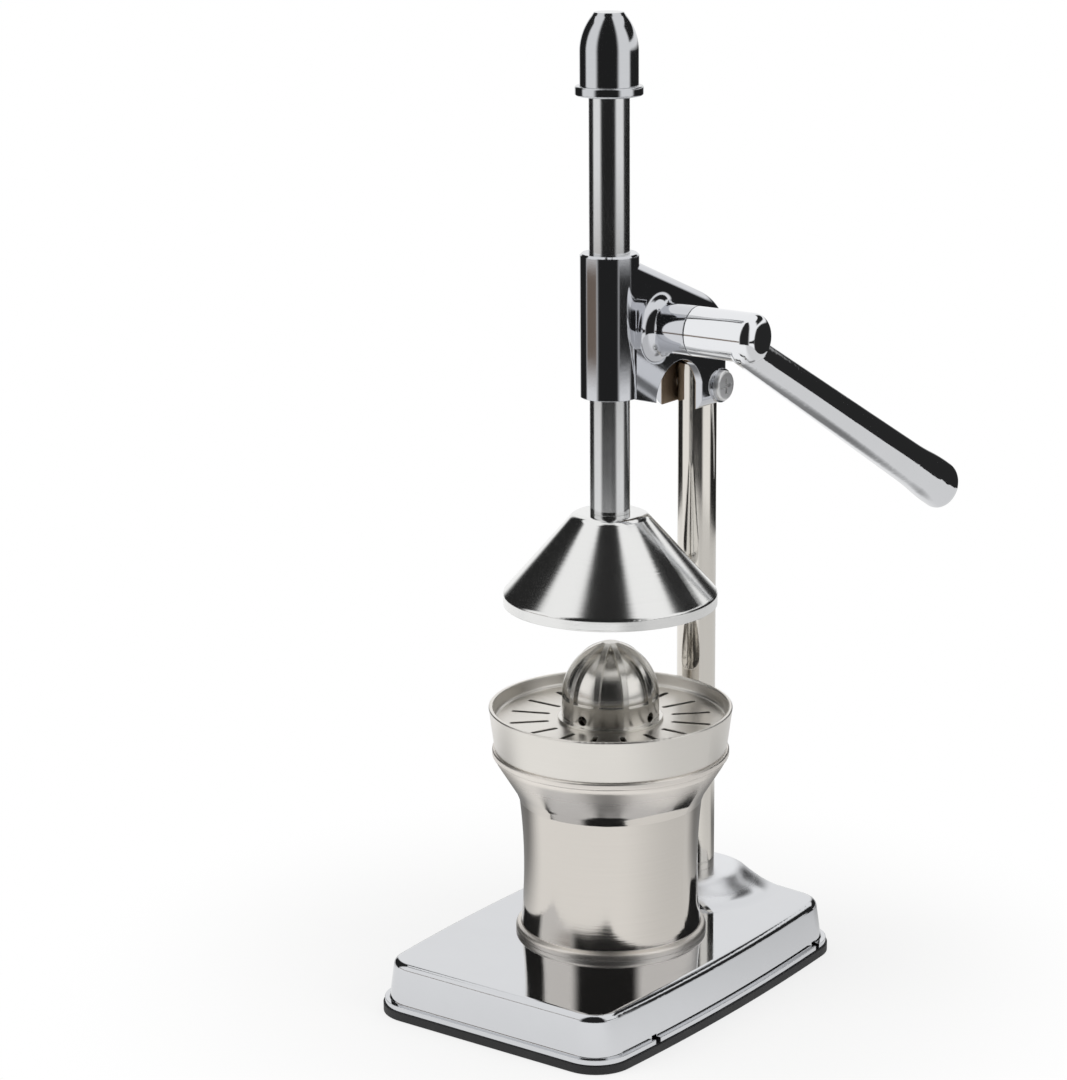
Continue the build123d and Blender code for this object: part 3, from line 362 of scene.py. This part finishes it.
def under_roof(n, y, z, column_y):
    """One below the middle of the head's roof, which slopes back and turns down at its rear."""
    head_high = box_of("head_casting")[1]
    front = head_high.z - ROOF_STEP
    slope = ROOF_FALL / column_y
    angle = math.atan(slope)
    turn_y = head_high.y - ROOF_REAR_RADIUS
    turn_start = turn_y + ROOF_REAR_RADIUS * math.sin(angle)
    turn_z = front - slope * turn_start - ROOF_REAR_RADIUS * math.cos(angle)
    level = n.math("ADD", z, n.math("MULTIPLY", y, slope))
    below = n.math("LESS_THAN", level, front - ROOF_HALF_WALL)
    from_turn = n.length(n.math("SUBTRACT", y, turn_y), n.math("SUBTRACT", z, turn_z))
    past_turn = n.math("GREATER_THAN", from_turn, ROOF_REAR_RADIUS - ROOF_HALF_WALL)
    outside = n.math("MULTIPLY", n.math("GREATER_THAN", y, turn_start), past_turn)
    return n.math("MULTIPLY", below, n.math("SUBTRACT", 1.0, outside))


def hollow_of_head(n, place):
    """One on the faces of the head's hollow, which are left as cast and get a darker brown painted
    shade, and zero on its outside.
    """
    x, y, z = n.add("ShaderNodeSeparateXYZ", {0: place}).outputs
    column_low, column_high = box_of("column_tube")
    column_y = (column_low.y + column_high.y) / 2
    past_column = n.math("MAXIMUM", n.math("SUBTRACT", y, column_y), 0.0)
    half_width = column_high.x + HOLLOW_SIDE_GAP
    between = n.math("LESS_THAN", n.length(x, past_column), half_width)
    rod_back = box_of("press_rod")[1].y
    behind = n.math("GREATER_THAN", y, rod_back + HOLLOW_FRONT_GAP)
    under = under_roof(n, y, z, column_y)
    return n.math("MULTIPLY", n.math("MULTIPLY", between, behind), under)


def height_over_base(n, place):
    """Height of a place over the base's top, on which the cup stands."""
    base_top = box_of("juice_cup")[0].z
    return n.math("SUBTRACT", n.add("ShaderNodeSeparateXYZ", {0: place}).outputs["Z"], base_top)


def ends_of_cup(n, place):
    """One on the cup's foot, where it is only brushed, and rising to one up its shoulder; both get a
    paler colour that is painted light.
    """
    height = height_over_base(n, place)
    foot = n.math("LESS_THAN", height, CUP_FOOT_TOP)
    return n.math("MAXIMUM", foot, n.ramp(height, CUP_SHOULDER, 0.0, 1.0))


def hump_of_base(n, place):
    """Rises from zero at the foot of the base's hump to one on its flank, where polish is softer and
    a paler colour paints light.
    """
    return n.ramp(height_over_base(n, place), HUMP_FLANK, 0.0, 1.0)


def metal(name, colour, roughness, streaks=PLAIN, relief=FAINT_RELIEF, zone=None):
    """Polished or satin metal with faint streaks, smears and rounded edges.

    A zone has a finish of its own: a function that finds it, its colour and its roughness; the zone
    colours carry painted light and painted shade.
    """
    material, n = new_material(name)
    place = n.add("ShaderNodeTexCoord").outputs["Object"]
    stretched = n.add("ShaderNodeMapping", {"Vector": place, "Scale": streaks}).outputs[0]
    lines = n.noise(stretched, *STREAK_NOISE)
    smears = n.noise(place, *SMEAR_NOISE)
    rough = n.ramp(smears, SMEAR_SPAN, roughness - SMEAR / 2, roughness + SMEAR, "LINEAR")
    dull = [c * (1 - TINT) for c in colour[:3]] + [1.0]
    shade = n.mix(lines, colour, dull)
    if zone:
        find, zone_colour, zone_roughness = zone
        inside = find(n, place)
        shade = n.mix(inside, shade, zone_colour)
        rough = n.mix(inside, rough, zone_roughness, "FLOAT")
    normal = n.rounded_relief(lines, relief, METAL_BEVEL)
    inputs = {"Base Color": shade, "Metallic": 1.0, "Roughness": rough, "Normal": normal}
    skin = n.add("ShaderNodeBsdfPrincipled", inputs)
    n.add("ShaderNodeOutputMaterial", {"Surface": skin.outputs[0]})
    return material


def rubber(name):
    """Black rubber with a fine moulded grain and a little dust."""
    material, n = new_material(name)
    place = n.add("ShaderNodeTexCoord").outputs["Object"]
    grain = n.noise(place, *GRAIN_NOISE)
    dusty = n.ramp(n.noise(place, *DUST_NOISE), DUST_SPAN, 0.0, DUST_SHARE, "LINEAR")
    shade = n.mix(dusty, RUBBER_COLOUR, DUST_COLOUR)
    normal = n.rounded_relief(grain, GRAIN_RELIEF, RUBBER_BEVEL)
    inputs = {"Base Color": shade, "Roughness": RUBBER_ROUGHNESS, "Normal": normal}
    skin = n.add("ShaderNodeBsdfPrincipled", inputs)
    n.add("ShaderNodeOutputMaterial", {"Surface": skin.outputs[0]})
    return material


# Finish of each slot: colour and roughness, then the streaks, relief and zone that it has
# The head's hollow: a rougher as-cast finish, and a darker brown colour that is painted shade of the
# recess
as_cast_with_painted_shade = (hollow_of_head, (0.42, 0.33, 0.25, 1.0), 0.55)
# The cup's foot and shoulder: brushed, and a paler colour that is painted light
brushed_ends_with_painted_light = (ends_of_cup, (0.82, 0.78, 0.73, 1.0), 0.36)
# The base's hump: softer polish, and a paler colour that is painted light
soft_hump_with_painted_light = (hump_of_base, (0.76, 0.77, 0.79, 1.0), 0.30)
finishes = {
    "base_chrome": dict(
        colour=(0.66, 0.67, 0.69, 1.0), roughness=0.045, relief=0.000005, zone=soft_hump_with_painted_light
    ),
    "column_chrome": dict(colour=(0.74, 0.71, 0.66, 1.0), roughness=0.09, streaks=DRAWN),
    "head_chrome": dict(
        colour=(0.62, 0.63, 0.66, 1.0), roughness=0.05, streaks=CAST, relief=0.000006, zone=as_cast_with_painted_shade
    ),
    "lever_chrome": dict(colour=(0.82, 0.83, 0.85, 1.0), roughness=0.04, relief=0.000004),
    "rod_chrome": dict(colour=(0.67, 0.675, 0.68, 1.0), roughness=0.16, streaks=DRAWN),
    "knob_chrome": dict(colour=(0.58, 0.59, 0.61, 1.0), roughness=0.09, streaks=TURNED),
    "cone_steel": dict(
        colour=(0.82, 0.82, 0.81, 1.0), roughness=0.13, streaks=TURNED, relief=0.00002
    ),
    "cup_steel": dict(
        colour=(0.68, 0.645, 0.60, 1.0), roughness=0.08, streaks=TURNED, zone=brushed_ends_with_painted_light
    ),
    "strainer_steel": dict(
        colour=(0.78, 0.755, 0.71, 1.0), roughness=0.30, streaks=TURNED, relief=0.00003
    ),
    "reamer_steel": dict(
        colour=(0.78, 0.76, 0.72, 1.0), roughness=0.22, streaks=TURNED, relief=0.00003
    ),
    "fastener_steel": dict(colour=(0.86, 0.86, 0.86, 1.0), roughness=0.42, streaks=CAST),
    "gear_steel": dict(
        colour=(0.42, 0.42, 0.43, 1.0), roughness=0.28, streaks=CAST, relief=0.00003
    ),
    "bush_brass": dict(colour=(0.74, 0.52, 0.24, 1.0), roughness=0.2, streaks=CAST),
}
slot_materials = {slot: metal(slot, **finish) for slot, finish in finishes.items()}
slot_materials["rubber"] = rubber("rubber")

for row in frame["record"]["subparts"]:
    mesh = frame["nodes"][row["node"]].data
    mesh.materials.clear()
    mesh.materials.append(slot_materials[row["material_slot"]])

add_camera()
add_world()
add_floor()
add_flags()
for lamp, values in LAMPS.items():
    add_lamp(lamp, *values)

bpy.context.scene.view_settings.view_transform = "Standard"
